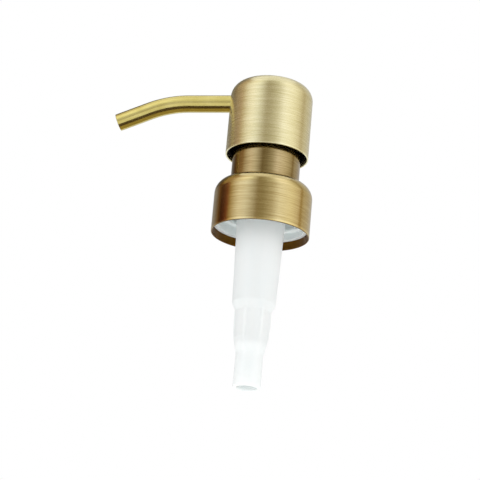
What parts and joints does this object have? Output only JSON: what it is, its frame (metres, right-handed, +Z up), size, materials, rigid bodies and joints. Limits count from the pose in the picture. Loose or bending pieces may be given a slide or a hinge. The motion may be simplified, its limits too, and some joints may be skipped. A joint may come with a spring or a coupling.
{
  "type": "soap pump dispenser",
  "caption": "Screw-on soap pump: round metal head with a bent spout, metal neck and collar, and a stepped white pump barrel below.",
  "frame": {"origin": "on the pump's axis in the plane of the bottle's lip, which is the underside of the lip gasket", "axes": "+Z up along the pump's axis towards the head, -Y towards the spout's tip, +X to the right of someone who looks at the tip of the spout"},
  "size_m": [0.0315, 0.0679, 0.102],
  "materials": {
    "brushed_brass": "fine circumferential brushing, antique tint, lacquered",
    "spout_brass": "fine lengthwise brushing, antique tint, lacquered",
    "white_pp": "moulded natural white, slightly translucent",
    "black_pp": "moulded black",
    "clear_pe": "extruded, milky",
    "soft_pe": "soft, satin",
    "seal_rubber": "smooth black",
    "stainless_wire": "drawn wire, bright",
    "ball_glass": "polished"
  },
  "bodies": {
    "barrel": {"housing": "white_pp", "lip_gasket": "soft_pe", "chaplet": "white_pp", "neck_sleeve": "brushed_brass", "stem_wiper": "soft_pe", "ball_cage": "white_pp", "main_spring": "stainless_wire"},
    "cap": {"closure_ring": "white_pp", "collar_shell": "brushed_brass"},
    "plunger": {"stem": "white_pp", "piston_rod": "white_pp"},
    "head": {"head_shell": "brushed_brass", "head_core": "black_pp", "spout_tube": "spout_brass", "spout_liner": "clear_pe", "swivel_bush": "black_pp", "stem_seal": "seal_rubber"},
    "piston_seal": {"piston": "soft_pe"},
    "check_ball": {"inlet_ball": "ball_glass"}
  },
  "joints": [
    {"name": "pump_stroke", "type": "slide", "parent": "barrel", "child": "plunger", "axis": [0, 0, -1], "range_m": [0, 0.009], "stiffness_N_per_m": 1070, "springref_m": -0.008, "deforming": ["main_spring"]},
    {"name": "head_turn", "type": "hinge", "parent": "plunger", "child": "head", "pos_m": [0, 0, 0.0235], "axis": [0, 0, 1], "continuous": true},
    {"name": "piston_lag", "type": "slide", "parent": "plunger", "child": "piston_seal", "axis": [0, 0, 1], "range_m": [0, 0.0015]},
    {"name": "cap_turn", "type": "hinge", "parent": "barrel", "child": "cap", "pos_m": [0, 0, 0], "axis": [0, 0, 1], "continuous": true},
    {"name": "ball_rise", "type": "slide", "parent": "barrel", "child": "check_ball", "axis": [0, 0, 1], "range_m": [0, 0.0015]}
  ],
  "couplings": [
    {"joint": "piston_lag", "follows": "pump_stroke", "ratio": 0.1666}
  ]
}
